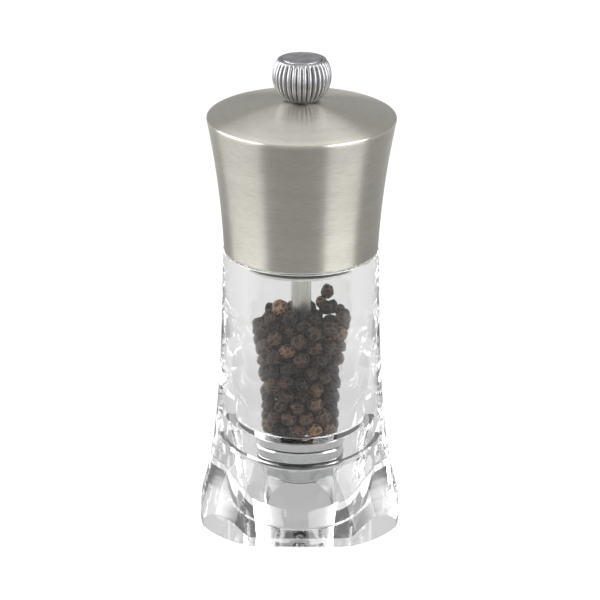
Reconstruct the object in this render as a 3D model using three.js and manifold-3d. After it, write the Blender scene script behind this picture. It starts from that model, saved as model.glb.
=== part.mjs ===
// A head-turn pepper mill: clear body, steel head, fluted adjusting knob and the grinding mechanism inside.
// Millimetres, +Z up. The origin is the centre of the foot's underside, and the shaft stands on the Z axis.
import * as THREE from "three";
import { mergeVertices } from "three/addons/utils/BufferGeometryUtils.js";
import Module from "manifold-3d";

const wasm = await Module();
wasm.setup();

// Driving dimensions
const GAP = 0.3; // between pieces that touch
const BODY_HEIGHT = 82.3;
const NECK_RADIUS = 22.3; // what the body's half-width tends to above the flare
const FLARE_WIDTH = 7; // how far the flare adds to that at the foot
const FLARE_LENGTH = 26; // the height in which the flare fades to a third
const FOOT_BAND = 2.9; // upright band at the foot
const FOOT_CORNER_RADIUS = 32.1; // the four corners of the foot are turned to this
const SQUARENESS = 1.35; // how far the foot's plan is from a circle towards a square
const SQUARE_HEIGHT = 18; // the height in which that fades
const BORE_TOP_RADIUS = 15.6;
const BORE_FLOOR_RADIUS = 12.4;
const TAPER_TOP = 68; // the chamber narrows smoothly from here down to its floor
const FLOOR_Z = 29.4; // where the chamber rounds in to its throat
const THROAT_RADIUS = 11.8;
const RECESS_TOP = 27.6; // the mechanism is held under this shelf
const RECESS_RADIUS = 14.2;
const MECHANISM_RADIUS = 13.8;
const GROOVE_TOP = 20.4; // groove of the retaining ring
const GROOVE_BOTTOM = 19.1;
const GROOVE_RADIUS = 15;

const HEAD_BOTTOM = 82.7;
const HEAD_FOOT_RADIUS = 22.4;
const HEAD_RIM_RADIUS = 27.4;
const HEAD_RIM_Z = 121.9;
const HEAD_WALL = 0.8;
const DOME_TOP = 127.5;
const DOME_RADIUS = 79;
const RIM_ROUND = 0.8;
const SPIGOT_RADIUS = 15.2;
const RING_SEAT_RADIUS = 13.8; // bottom of the spigot's groove
const SPIGOT_BOTTOM = 78.4;
const CORE_BORE = 4.2;

const KNOB_RADIUS = 8.5;
const KNOB_CENTRE = 134.6;
const KNOB_SEAT = 127.8;
const KNOB_SEAT_RADIUS = 4.9;
const KNOB_TOP = 140;
const KNOB_DISC_RADIUS = 5.8;
const KNOB_SHOULDER_RADIUS = 6.5;
const FLUTES = 32;
const FLUTE_DEPTH = 0.4;

const SHAFT_SIDE = 5.5;
const SHAFT_CHAMFER = 0.4;
const SQUARE_BOTTOM = 15.2;
const SQUARE_TOP = 118;
const THREAD_RADIUS = 2.45;
const SHAFT_TOP = 136.2;

const BRIDGE_TOP = 27.3;
const BRIDGE_BOTTOM = 24.3;
const STATOR_TOP = 24;
const FLANGE_BOTTOM = 20.6;
const SKIRT_RADIUS = 11.6;
const SKIRT_BOTTOM = 12.8;
const ROTOR_TOP = 19.2;
const ROTOR_BOTTOM = 13.2;
const STATOR_TEETH = 24;
const ROTOR_TEETH = 12;
const FILL_TOP = 61;

// Materials
function finish(color, roughness, metalness, extra = {}) {
  return new THREE.MeshStandardMaterial({ color, roughness, metalness, ...extra });
}

const clearAcrylic = finish(0xf2f4f3, 0.05, 0, { transparent: true, opacity: 0.3 });
const brushedSteel = finish(0xb9b6ac, 0.32, 1);
const polishedSteel = finish(0xc8c9cb, 0.15, 1);
const hardenedSteel = finish(0x6b6d70, 0.35, 1);
const knobAluminium = finish(0xb4b4b8, 0.35, 1);
const brass = finish(0xb08d4c, 0.35, 1);
const paleNylon = finish(0xdcdcd6, 0.5, 0);
const darkRubber = finish(0x1c1c1c, 0.7, 0);
const pepper = finish(0x3d332c, 0.8, 0);

// Solids and booleans
function solidOf(geometry) {
  const bare = geometry.clone();
  bare.deleteAttribute("normal");
  bare.deleteAttribute("uv");
  const merged = mergeVertices(bare, 1e-4);
  return new wasm.Manifold(
    new wasm.Mesh({
      numProp: 3,
      vertProperties: new Float32Array(merged.attributes.position.array),
      triVerts: new Uint32Array(merged.index.array),
    }),
  );
}

function geometryOf(solid) {
  const mesh = solid.getMesh();
  const geometry = new THREE.BufferGeometry();
  geometry.setAttribute("position", new THREE.BufferAttribute(mesh.vertProperties, 3));
  geometry.setIndex(new THREE.BufferAttribute(mesh.triVerts, 1));
  geometry.computeVertexNormals();
  return geometry;
}

// The geometry with every tool cut out of it.
function cut(geometry, ...tools) {
  return geometryOf(tools.reduce((left, tool) => left.subtract(solidOf(tool)), solidOf(geometry)));
}

function join(...geometries) {
  return geometryOf(geometries.map(solidOf).reduce((sum, solid) => sum.add(solid)));
}

// A solid of revolution about Z. The outline runs outwards along the underside and up the outside.
function turned(outline, segments = 48) {
  const points = outline.map(([radius, z]) => new THREE.Vector2(radius, z));
  const [first, last] = [points[0], points[points.length - 1]];
  if (first.x > 0 || last.x > 0) points.push(first.clone());
  return new THREE.LatheGeometry(points, segments).rotateX(Math.PI / 2);
}

// A flat shape on XY, made solid from z = bottom to z = top.
function plate(shape, bottom, top, curveSegments = 12) {
  const options = { depth: top - bottom, bevelEnabled: false, curveSegments };
  return new THREE.ExtrudeGeometry(shape, options).translate(0, 0, bottom);
}

function cylinder(radius, bottom, top, segments = 24) {
  return turned([[0, bottom], [radius, bottom], [radius, top], [0, top]], segments);
}

function block(width, depth, bottom, top) {
  return new THREE.BoxGeometry(width, depth, top - bottom).translate(0, 0, (top + bottom) / 2);
}

function circle(radius) {
  return new THREE.Path().absarc(0, 0, radius, 0, 2 * Math.PI, true);
}

// Points [radius, z] of an arc about a centre on the half-plane, from one angle to the other in degrees.
function arc(centreRadius, centreZ, radius, from, to, steps, squash = 1) {
  return Array.from({ length: steps + 1 }, (_, i) => {
    const angle = THREE.MathUtils.degToRad(from + ((to - from) * i) / steps);
    return [centreRadius + radius * Math.cos(angle), centreZ + squash * radius * Math.sin(angle)];
  });
}

// Moves every vertex in or out from the Z axis: newRadius(angle, radius, z) says how far out it ends.
function reshape(geometry, newRadius) {
  const position = geometry.attributes.position;
  for (let i = 0; i < position.count; i++) {
    const [x, y, z] = [position.getX(i), position.getY(i), position.getZ(i)];
    const radius = Math.hypot(x, y);
    if (radius < 1e-6) continue;
    const scale = newRadius(Math.atan2(y, x), radius, z) / radius;
    position.setXY(i, x * scale, y * scale);
  }
  return geometry;
}

function named(name, geometry, material) {
  const mesh = new THREE.Mesh(geometry, material);
  mesh.name = name;
  return mesh;
}

// Clear body: round at the neck, four gentle flats on its flared foot, whose corners are turned round.
function bodyHalfWidth(z) {
  return NECK_RADIUS + FLARE_WIDTH * Math.exp(-Math.max(0, z - FOOT_BAND) / FLARE_LENGTH);
}

function squared(angle, radius, z) {
  if (radius < BORE_TOP_RADIUS + 1) return radius;
  const power = 2 + SQUARENESS * Math.exp(-((z / SQUARE_HEIGHT) ** 2));
  const sum = Math.abs(Math.cos(angle)) ** power + Math.abs(Math.sin(angle)) ** power;
  return radius / sum ** (1 / power);
}

function boreRadius(z) {
  const share = THREE.MathUtils.smoothstep(z, FLOOR_Z, TAPER_TOP);
  return THREE.MathUtils.lerp(BORE_FLOOR_RADIUS, BORE_TOP_RADIUS, share);
}

function acrylicBody() {
  const steps = 11;
  const edge = 0.4;
  const outside = Array.from({ length: steps + 1 }, (_, i) => {
    const z = FOOT_BAND + (BODY_HEIGHT - edge - FOOT_BAND) * (i / steps) ** 1.5;
    return [bodyHalfWidth(z), z];
  });
  const rounding = BORE_FLOOR_RADIUS - THROAT_RADIUS;
  const roundingHeight = (FLOOR_Z - RECESS_TOP - 0.8) / rounding;
  const outline = [
    [RECESS_RADIUS + edge, 0],
    [bodyHalfWidth(0) - edge, 0],
    [bodyHalfWidth(0), edge],
    ...outside,
    [bodyHalfWidth(BODY_HEIGHT) - edge, BODY_HEIGHT],
    [BORE_TOP_RADIUS + edge, BODY_HEIGHT],
    [BORE_TOP_RADIUS, BODY_HEIGHT - edge],
    ...[TAPER_TOP, 60, 54, 48, 42, 36].map((z) => [boreRadius(z), z]),
    ...arc(THROAT_RADIUS, FLOOR_Z, rounding, 0, -90, 4, roundingHeight),
    [THROAT_RADIUS, RECESS_TOP],
    [RECESS_RADIUS, RECESS_TOP],
    [RECESS_RADIUS, GROOVE_TOP],
    [GROOVE_RADIUS, GROOVE_TOP],
    [GROOVE_RADIUS, GROOVE_BOTTOM],
    [RECESS_RADIUS, GROOVE_BOTTOM],
    [RECESS_RADIUS, edge],
  ];
  const flared = reshape(turned(outline, 48), squared);
  const stock = cylinder(FOOT_CORNER_RADIUS, -1, BODY_HEIGHT + 1, 64);
  return geometryOf(solidOf(flared).intersect(solidOf(stock)));
}

// The heap of peppercorns, with room for the shaft and its bush.
function peppercornFill() {
  const [clear, bottom, shaftRoom] = [0.4, 28.8, 4.6];
  const heights = [FLOOR_Z, 36, 42, 48, 54, FILL_TOP - 1];
  return turned(
    [
      [shaftRoom, bottom],
      [THROAT_RADIUS - clear, bottom],
      ...heights.map((z) => [boreRadius(z) - clear, z]),
      [boreRadius(FILL_TOP) - 2.5, FILL_TOP],
      [shaftRoom, FILL_TOP],
    ],
    32,
  );
}

// Steel head: a spun shell with concave side and domed top.
function headSide(inset, steps) {
  const curve = new THREE.QuadraticBezierCurve(
    new THREE.Vector2(HEAD_FOOT_RADIUS - inset, HEAD_BOTTOM),
    new THREE.Vector2(HEAD_FOOT_RADIUS + 1 - inset, (HEAD_BOTTOM + HEAD_RIM_Z) / 2),
    new THREE.Vector2(HEAD_RIM_RADIUS - inset, HEAD_RIM_Z),
  );
  return curve.getPoints(steps).map((point) => [point.x, point.y]);
}

// The dome's outline, lowered by inset, from one radius in to another.
function dome(inset, from, to, steps) {
  const centre = DOME_TOP - DOME_RADIUS;
  const angle = (radius) => THREE.MathUtils.radToDeg(Math.acos(radius / (DOME_RADIUS - inset)));
  return arc(0, centre, DOME_RADIUS - inset, angle(from), angle(to), steps);
}

const HEAD_HOLE = 3; // for the threaded end of the shaft

function headShell() {
  const outer = headSide(0, 6);
  const inner = headSide(HEAD_WALL, 4).reverse();
  return turned(
    [
      ...outer,
      ...arc(HEAD_RIM_RADIUS - RIM_ROUND, HEAD_RIM_Z + 0.2, RIM_ROUND, 0, 70, 2),
      ...dome(0, HEAD_RIM_RADIUS - 1.2, HEAD_HOLE, 5),
      ...dome(HEAD_WALL, HEAD_HOLE, HEAD_RIM_RADIUS - 1.6, 3),
      ...inner,
    ],
    42,
  );
}

// Nylon core of the head: it fits the shell, and its spigot centres the head in the body's mouth.
const PLATE_POCKET = 81.4;
const SCREW_SPREAD = 7.2; // from the shaft's axis to the screws of the driver plate
const SCREW_RADIUS = 1;

function driverScrewHole(side, bottom, top) {
  return cylinder(SCREW_RADIUS + GAP, bottom, top, 12).translate(side * SCREW_SPREAD, 0, 0);
}

function headCore() {
  const inset = HEAD_WALL + GAP;
  const wall = 1.6;
  const wallTop = 119;
  const floor = 85.5;
  const tube = 6.2;
  const below = headSide(inset, 6).filter(([, z]) => z < wallTop);
  const inside = headSide(inset + wall, 6).filter(([, z]) => z < wallTop && z > floor).reverse();
  const body = turned([
    [CORE_BORE, PLATE_POCKET],
    [10, PLATE_POCKET],
    [10, SPIGOT_BOTTOM],
    [SPIGOT_RADIUS, SPIGOT_BOTTOM],
    [SPIGOT_RADIUS, 79.1],
    [RING_SEAT_RADIUS, 79.1],
    [RING_SEAT_RADIUS, 80.5],
    [SPIGOT_RADIUS, 80.5],
    [SPIGOT_RADIUS, HEAD_BOTTOM],
    ...below,
    ...inside,
    [19.4, floor],
    [tube, floor],
    [tube, DOME_TOP - 1.6],
    [CORE_BORE, DOME_TOP - 1.6],
  ], 36);
  return cut(body, ...[-1, 1].map((side) => driverScrewHole(side, PLATE_POCKET - 1, 84.2)));
}

function neckRing() {
  const [inner, outer] = [RING_SEAT_RADIUS + GAP, BORE_TOP_RADIUS - GAP];
  return turned([[inner, 79.4], [outer, 79.4], [outer, 80.2], [inner, 80.2]], 48);
}

function driverPlate() {
  const shape = new THREE.Shape().absarc(0, 0, 9.6, 0, 2 * Math.PI);
  const half = SHAFT_SIDE / 2 + 0.25;
  const square = [[-half, -half], [-half, half], [half, half], [half, -half]];
  shape.holes.push(new THREE.Path(square.map(([x, y]) => new THREE.Vector2(x, y))));
  const blank = plate(shape, PLATE_POCKET - 1.5, PLATE_POCKET - GAP);
  return cut(blank, ...[-1, 1].map((side) => driverScrewHole(side, 79, 82)));
}

// A slotted screw that points up, with its head's underside at z = seat.
function screw(radius, headRadius, headHeight, seat, length) {
  const body = turned(
    [
      [0, seat - headHeight],
      [headRadius - 0.2, seat - headHeight],
      [headRadius, seat - headHeight + 0.2],
      [headRadius, seat],
      [radius, seat],
      [radius, seat + length - 0.4],
      [radius - 0.4, seat + length],
      [0, seat + length],
    ],
    16,
  );
  return cut(body, block(3 * headRadius, 0.4, seat - headHeight - 1, seat - headHeight / 2));
}

// Knob: a squat fluted ball with a disc let into its top and a blind bore for the brass insert.
function adjustingKnob() {
  const boreRadius = 3.9;
  const seatAngle = THREE.MathUtils.radToDeg(Math.asin((KNOB_SEAT - KNOB_CENTRE) / KNOB_RADIUS));
  const shoulderAngle = THREE.MathUtils.radToDeg(Math.acos(KNOB_SHOULDER_RADIUS / KNOB_RADIUS));
  const ball = arc(0, KNOB_CENTRE, KNOB_RADIUS, seatAngle, shoulderAngle - 6, 7);
  const outline = [
    [0, 137.4],
    [boreRadius, 137.4],
    [boreRadius, KNOB_SEAT],
    ...ball,
    [KNOB_SHOULDER_RADIUS, KNOB_TOP - 0.35],
    [KNOB_SHOULDER_RADIUS - 0.4, KNOB_TOP],
    [KNOB_DISC_RADIUS, KNOB_TOP],
    [KNOB_DISC_RADIUS, KNOB_TOP - 0.8],
    [0, KNOB_TOP - 0.8],
  ];
  return reshape(turned(outline, 3 * FLUTES), (angle, radius, z) => {
    const height = Math.abs(z - KNOB_CENTRE) / KNOB_RADIUS;
    if (radius < KNOB_SEAT_RADIUS || height > 0.85 || z > KNOB_TOP - 0.5) return radius;
    return radius - FLUTE_DEPTH * (0.5 - 0.5 * Math.cos(FLUTES * angle)) * Math.min(1, 4 * (0.85 - height));
  });
}

function knobInsert() {
  return turned([[THREAD_RADIUS + 0.25, 128.1], [3.6, 128.1], [3.6, 137], [THREAD_RADIUS + 0.25, 137]], 24);
}

function knobCap() {
  return turned([[0, 139.5], [5.5, 139.5], [5.5, 139.8], [5.3, 139.9], [0, 139.9]], 40);
}

// Shaft: a chamfered square bar with a threaded top end and a riveted bottom end.
function driveShaft() {
  const [half, corner] = [SHAFT_SIDE / 2, SHAFT_SIDE / 2 - SHAFT_CHAMFER];
  const section = new THREE.Shape();
  section.moveTo(half, -corner);
  section.lineTo(half, corner);
  section.lineTo(corner, half);
  section.lineTo(-corner, half);
  section.lineTo(-half, corner);
  section.lineTo(-half, -corner);
  section.lineTo(-corner, -half);
  section.lineTo(corner, -half);
  const [rivetRadius, tenonRadius] = [2.8, 1.9];
  const rivet = [[0, 12.6], [rivetRadius - 0.3, 12.6], [rivetRadius, 12.9], [rivetRadius, 13.2]];
  const tenon = turned([...rivet, [tenonRadius, 13.2], [tenonRadius, 16], [0, 16]], 24);
  const thread = [[0, SQUARE_TOP - 1], [THREAD_RADIUS, SQUARE_TOP - 1], [THREAD_RADIUS, SHAFT_TOP - 0.5]];
  const end = turned([...thread, [THREAD_RADIUS - 0.5, SHAFT_TOP], [0, SHAFT_TOP]], 24);
  return join(plate(section, SQUARE_BOTTOM, SQUARE_TOP), tenon, end);
}

// Mechanism
function bearingBridge() {
  const [inside, hub] = [10.6, 5.8];
  const half = 0.13; // half of an arm's width as an angle at the ring
  const shape = new THREE.Shape().absarc(0, 0, MECHANISM_RADIUS, 0, 2 * Math.PI);
  for (let arm = 0; arm < 3; arm++) {
    const from = ((2 * arm) / 3) * Math.PI + half;
    const to = ((2 * arm + 2) / 3) * Math.PI - half;
    const window = new THREE.Path().absarc(0, 0, inside, from, to);
    window.absarc(0, 0, hub, to - half, from + half, true);
    shape.holes.push(window);
  }
  shape.holes.push(circle(4.9));
  return plate(shape, BRIDGE_BOTTOM, BRIDGE_TOP, 16);
}

function shaftBush() {
  const [bottom, collar, top] = [BRIDGE_BOTTOM + GAP, BRIDGE_TOP + GAP, BRIDGE_TOP + 1];
  return turned([[3.9, bottom], [4.6, bottom], [4.6, collar], [5.4, collar], [5.4, top], [3.9, top]], 32);
}

function toothed(geometry, teeth, depth, lead, applies) {
  return reshape(geometry, (angle, radius, z) => {
    if (!applies(radius, z)) return radius;
    const turn = (teeth * (angle + lead * z)) / (2 * Math.PI);
    const share = turn - Math.floor(turn);
    return radius + depth * share;
  });
}

const BRIDGE_SCREW_SPREAD = 10.3;

function bridgeScrewHole(side, bottom, top) {
  return cylinder(0.8, bottom, top, 12).translate(side * BRIDGE_SCREW_SPREAD, 0, 0);
}

function stator() {
  const blank = turned(
    [
      [8.9, SKIRT_BOTTOM],
      [SKIRT_RADIUS - 0.8, SKIRT_BOTTOM],
      [SKIRT_RADIUS, SKIRT_BOTTOM + 0.8],
      [SKIRT_RADIUS, FLANGE_BOTTOM],
      [MECHANISM_RADIUS, FLANGE_BOTTOM],
      [MECHANISM_RADIUS, STATOR_TOP],
      [10.8, STATOR_TOP],
      [9.2, FLANGE_BOTTOM],
      [8.5, 17.5],
      [8.7, 15],
    ],
    3 * STATOR_TEETH,
  );
  const grinds = (radius, z) => radius < 9.1 && z < FLANGE_BOTTOM - 1;
  const ring = toothed(blank, STATOR_TEETH, 0.35, 0.02, grinds);
  return cut(ring, ...[-1, 1].map((side) => bridgeScrewHole(side, SKIRT_BOTTOM - 1, 16.6)));
}

function rotor() {
  const pocket = 14.9; // ceiling of the pocket for the washer
  const outline = [
    [0, pocket],
    [4.8, pocket],
    [4.8, ROTOR_BOTTOM],
    [7.6, ROTOR_BOTTOM],
    [7.6, 14.4],
    [7.3, 16],
    [6.8, 17.6],
    [5.9, ROTOR_TOP],
    [0, ROTOR_TOP],
  ];
  const cone = toothed(turned(outline, 6 * ROTOR_TEETH), ROTOR_TEETH, 0.4, 0.09, (radius) => radius > 5);
  const side = SHAFT_SIDE + 0.5;
  return cut(cone, block(side, side, ROTOR_BOTTOM, ROTOR_TOP + 1));
}

function rotorWasher() {
  return turned([[2.2, 13.5], [4.5, 13.5], [4.5, 14.6], [2.2, 14.6]], 32);
}

function springSeat() {
  return turned([[4.3, 19.5], [6.2, 19.5], [6.2, 20], [4.3, 20]], 32);
}

// Compression spring as a swept helix between the seat and the bridge's hub.
class Helix extends THREE.Curve {
  constructor(radius, bottom, top, turns) {
    super();
    Object.assign(this, { radius, bottom, top, turns });
  }

  getPoint(share, target = new THREE.Vector3()) {
    const angle = 2 * Math.PI * this.turns * share;
    const z = THREE.MathUtils.lerp(this.bottom, this.top, share);
    return target.set(this.radius * Math.cos(angle), this.radius * Math.sin(angle), z);
  }
}

function spring() {
  const wire = 0.4;
  const turns = 3;
  const path = new Helix(5.2, 20.3 + wire, BRIDGE_BOTTOM - GAP - wire, turns);
  const section = new THREE.Shape().absarc(0, 0, wire, 0, 2 * Math.PI);
  const options = { extrudePath: path, steps: 14 * turns, curveSegments: 3, bevelEnabled: false };
  return new THREE.ExtrudeGeometry(section, options);
}

function retainingRing() {
  const [inner, outer, gap] = [12.2, 14.7, 0.25];
  const shape = new THREE.Shape().absarc(0, 0, outer, gap, 2 * Math.PI - gap);
  shape.absarc(0, 0, inner, 2 * Math.PI - gap, gap, true);
  return plate(shape, 19.4, 20.1, 32);
}

function bottomBridge() {
  const top = 11.9;
  const bar = block(23, 5, top - 1.3, top);
  const oneFoot = block(2.4, 5, top - 0.5, SKIRT_BOTTOM - GAP);
  const foot = (side) => oneFoot.translate(side * BRIDGE_SCREW_SPREAD, 0, 0);
  const ring = cylinder(5.2, top - 1.3, top, 32);
  const whole = join(bar, foot(-1), foot(1), ring);
  const holes = [-1, 1].map((side) => bridgeScrewHole(side, 10, 13));
  return cut(whole, cylinder(3.2, 10, 13), ...holes);
}

const mill = new THREE.Group();

const body = new THREE.Group();
body.add(
  named("acrylic_body", acrylicBody(), clearAcrylic),
  named("peppercorn_fill", peppercornFill(), pepper),
  named("bearing_bridge", bearingBridge(), polishedSteel),
  named("shaft_bush", shaftBush(), paleNylon),
  named("stator", stator(), polishedSteel),
  named("spring", spring(), hardenedSteel),
  named("retaining_ring", retainingRing(), hardenedSteel),
  named("bottom_bridge", bottomBridge(), polishedSteel),
);
[-1, 1].forEach((side, i) => {
  const shape = screw(0.5, 1.1, 0.7, 10.3, 5.6);
  const bridgeScrew = named("bottom_bridge_screw_" + (i + 1), shape, hardenedSteel);
  bridgeScrew.position.x = side * BRIDGE_SCREW_SPREAD;
  body.add(bridgeScrew);
});

const spindle = new THREE.Group();
spindle.add(
  named("drive_shaft", driveShaft(), polishedSteel),
  named("rotor", rotor(), hardenedSteel),
  named("rotor_washer", rotorWasher(), hardenedSteel),
  named("spring_seat", springSeat(), polishedSteel),
);

const head = new THREE.Group();
head.add(
  named("head_shell", headShell(), brushedSteel),
  named("head_core", headCore(), paleNylon),
  named("neck_ring", neckRing(), darkRubber),
  named("driver_plate", driverPlate(), polishedSteel),
);
[-1, 1].forEach((side, i) => {
  const shape = screw(SCREW_RADIUS, 1.9, 0.8, 79.6, 4.3);
  const driverScrew = named("driver_plate_screw_" + (i + 1), shape, hardenedSteel);
  driverScrew.position.x = side * SCREW_SPREAD;
  head.add(driverScrew);
});

const knob = new THREE.Group();
knob.add(
  named("adjusting_knob", adjustingKnob(), knobAluminium),
  named("knob_insert", knobInsert(), brass),
  named("knob_cap", knobCap(), knobAluminium),
);

mill.add(body, spindle, head, knob);
export default mill;
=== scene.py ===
"""A head-turn pepper mill with a clear flared body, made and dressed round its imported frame."""

import logging
import math
from collections.abc import Callable
from dataclasses import dataclass, field
from enum import Enum
from typing import Any, Protocol

import bmesh
import bpy
import numpy as np
from mathutils import Matrix, Vector


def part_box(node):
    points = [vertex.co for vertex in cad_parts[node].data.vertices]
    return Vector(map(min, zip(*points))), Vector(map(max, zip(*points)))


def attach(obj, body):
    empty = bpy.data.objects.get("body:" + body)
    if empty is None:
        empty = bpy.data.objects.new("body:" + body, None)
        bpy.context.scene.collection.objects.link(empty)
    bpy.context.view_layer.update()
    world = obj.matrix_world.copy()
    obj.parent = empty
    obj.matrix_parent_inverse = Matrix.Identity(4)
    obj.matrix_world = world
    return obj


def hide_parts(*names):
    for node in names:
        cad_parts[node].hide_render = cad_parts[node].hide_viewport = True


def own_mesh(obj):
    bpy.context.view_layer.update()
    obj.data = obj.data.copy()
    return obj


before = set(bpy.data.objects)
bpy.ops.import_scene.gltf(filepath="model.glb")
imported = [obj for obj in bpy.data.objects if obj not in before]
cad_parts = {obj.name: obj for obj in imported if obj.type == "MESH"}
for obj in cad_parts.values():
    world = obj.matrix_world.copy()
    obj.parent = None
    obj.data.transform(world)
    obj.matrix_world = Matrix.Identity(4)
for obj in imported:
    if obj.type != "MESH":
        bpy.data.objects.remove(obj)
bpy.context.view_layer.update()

log = logging.getLogger("pepper_mill")

MM = 0.001
Pair = tuple[float, float]
Triple = tuple[float, float, float]
Outline = list[Pair]


class Body(Enum):
    """The bodies that new pieces ride on."""

    MILL = "mill_body"
    NECK = "neck"
    HEAD = "head"
    KNOB = "knob"
    SPINDLE = "spindle"


# Shader graphs


class Wire:
    """A shader socket that takes part in Python arithmetic."""

    def __init__(self, graph: "Graph", socket: bpy.types.NodeSocket) -> None:
        """Wraps an output socket of a node in the graph."""
        self.graph = graph
        self.socket = socket

    def math(self, operation: str, *others: "Wire | float") -> "Wire":
        """Adds a Math node.

        Args:
            operation: the Math node's operation.
            others: the values after this one.

        Returns:
            The node's result.
        """
        node = self.graph.add("ShaderNodeMath", {"operation": operation}, dict(enumerate([self, *others])))
        return Wire(self.graph, node.outputs[0])

    def _reversed(self, operation: str, other: float) -> "Wire":
        """The same with this value last."""
        node = self.graph.add("ShaderNodeMath", {"operation": operation}, {0: other, 1: self})
        return Wire(self.graph, node.outputs[0])

    def __add__(self, other: "Wire | float") -> "Wire":
        """This plus other."""
        return self.math("ADD", other)

    def __radd__(self, other: float) -> "Wire":
        """Other plus this."""
        return self.math("ADD", other)

    def __sub__(self, other: "Wire | float") -> "Wire":
        """This less other."""
        return self.math("SUBTRACT", other)

    def __rsub__(self, other: float) -> "Wire":
        """Other less this."""
        return self._reversed("SUBTRACT", other)

    def __mul__(self, other: "Wire | float") -> "Wire":
        """This times other."""
        return self.math("MULTIPLY", other)

    def __rmul__(self, other: float) -> "Wire":
        """Other times this."""
        return self.math("MULTIPLY", other)

    def __truediv__(self, other: "Wire | float") -> "Wire":
        """This over other."""
        return self.math("DIVIDE", other)

    def __rtruediv__(self, other: float) -> "Wire":
        """Other over this."""
        return self._reversed("DIVIDE", other)

    def clamped(self, low: float = 0.0, high: float = 1.0) -> "Wire":
        """This value kept between low and high."""
        return self.math("MAXIMUM", low).math("MINIMUM", high)

    def rise(self, start: float, end: float) -> "Wire":
        """A straight rise from 0 where this value is start to 1 where it is end."""
        return ((self - start) * (1.0 / (end - start))).clamped()


def grey(level: float) -> Triple:
    """A grey of that level."""
    return (level, level, level)


class Graph:
    """A tree of shader nodes."""

    def __init__(self, tree: bpy.types.NodeTree) -> None:
        """Works on that tree."""
        self.tree = tree

    def add(self, kind: str, settings: dict | None = None, inputs: dict | None = None) -> bpy.types.Node:
        """Adds a node.

        Args:
            kind: the node's type.
            settings: its settings, set first; a ramp's stops are a list of (place, colour).
            inputs: values or wires by socket name or number.

        Returns:
            The node.
        """
        node = self.tree.nodes.new(kind)
        for key, value in (settings or {}).items():
            if key != "stops":
                setattr(node, key, value)
                continue
            ramp = node.color_ramp
            while len(ramp.elements) < len(value):
                ramp.elements.new(1.0)
            for element, (place, colour) in zip(ramp.elements, value):
                element.position, element.color = place, (*colour, 1.0)
        for key, value in (inputs or {}).items():
            self.feed(node.inputs[key], value)
        return node

    def feed(self, socket: bpy.types.NodeSocket, value: "Wire | float | tuple") -> None:
        """Links a wire to a socket, or sets a plain value on it.

        Args:
            socket: the input.
            value: a wire, a number, or a colour or vector.
        """
        if isinstance(value, Wire):
            self.tree.links.new(value.socket, socket)
        elif isinstance(value, tuple) and socket.type == "RGBA":
            socket.default_value = (*value[:3], 1.0)
        else:
            socket.default_value = value

    def wire(self, node: bpy.types.Node, output: int | str = 0) -> Wire:
        """One output of a node as a wire."""
        return Wire(self, node.outputs[output])

    def place(self) -> Wire:
        """The point on the piece, in its object's coordinates."""
        return self.wire(self.add("ShaderNodeTexCoord"), "Object")

    def axes(self) -> tuple[Wire, Wire, Wire]:
        """The same point as x, y and z."""
        node = self.add("ShaderNodeSeparateXYZ", inputs={0: self.place()})
        return self.wire(node, 0), self.wire(node, 1), self.wire(node, 2)

    def vector(self, x: Wire | float, y: Wire | float, z: Wire | float) -> Wire:
        """Three numbers as a vector."""
        return self.wire(self.add("ShaderNodeCombineXYZ", inputs={0: x, 1: y, 2: z}))

    def noise(self, place: Wire, scale: float, detail: float = 2.0, roughness: float = 0.5) -> Wire:
        """Smooth noise between 0 and 1 at a place."""
        inputs = {"Vector": place, "Scale": scale, "Detail": detail, "Roughness": roughness}
        return self.wire(self.add("ShaderNodeTexNoise", inputs=inputs), 0)

    def blend(self, share: Wire, first: tuple | Wire, second: tuple | Wire) -> Wire:
        """A colour between two colours."""
        node = self.add("ShaderNodeMix", {"data_type": "RGBA"}, {0: share, 6: first, 7: second})
        return self.wire(node, 2)

    def bump(self, height: Wire, strength: float, distance: float) -> Wire:
        """A normal bent by a height."""
        inputs = {"Height": height, "Strength": strength, "Distance": distance}
        return self.wire(self.add("ShaderNodeBump", inputs=inputs))

    def ramp(self, value: Wire, start: float, end: float) -> Wire:
        """A smooth rise from 0 at start to 1 at end."""
        inputs = {"Value": value, "From Min": start, "From Max": end}
        return self.wire(self.add("ShaderNodeMapRange", {"interpolation_type": "SMOOTHSTEP"}, inputs))

    def round_the_axis(self) -> tuple[Wire, Wire, Wire, Wire]:
        """Places a point by the Z axis.

        Returns:
            The direction from the axis as two numbers, the radius, and the height.
        """
        x, y, z = self.axes()
        radius = (x * x + y * y).math("SQRT").math("MAXIMUM", 1e-5)
        return x / radius, y / radius, radius, z


class MaterialGraph(Graph):
    """The nodes of one material, with a Principled shader at their end."""

    def __init__(self, name: str) -> None:
        """Starts a material.

        Args:
            name: its name, which is also stored as its slot.
        """
        self.material = bpy.data.materials.new(name)
        self.material["slot"] = name
        self.material.use_nodes = True
        super().__init__(self.material.node_tree)
        self.shader = next(n for n in self.tree.nodes if n.type == "BSDF_PRINCIPLED")

    def finish(self, **inputs: "Wire | float | tuple") -> bpy.types.Material:
        """Feeds the Principled shader.

        Args:
            inputs: values or wires by the socket's name, with _ for a space.

        Returns:
            The finished material.
        """
        for key, value in inputs.items():
            self.feed(self.shader.inputs[key.replace("_", " ")], value)
        return self.material


# Finishes


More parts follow.
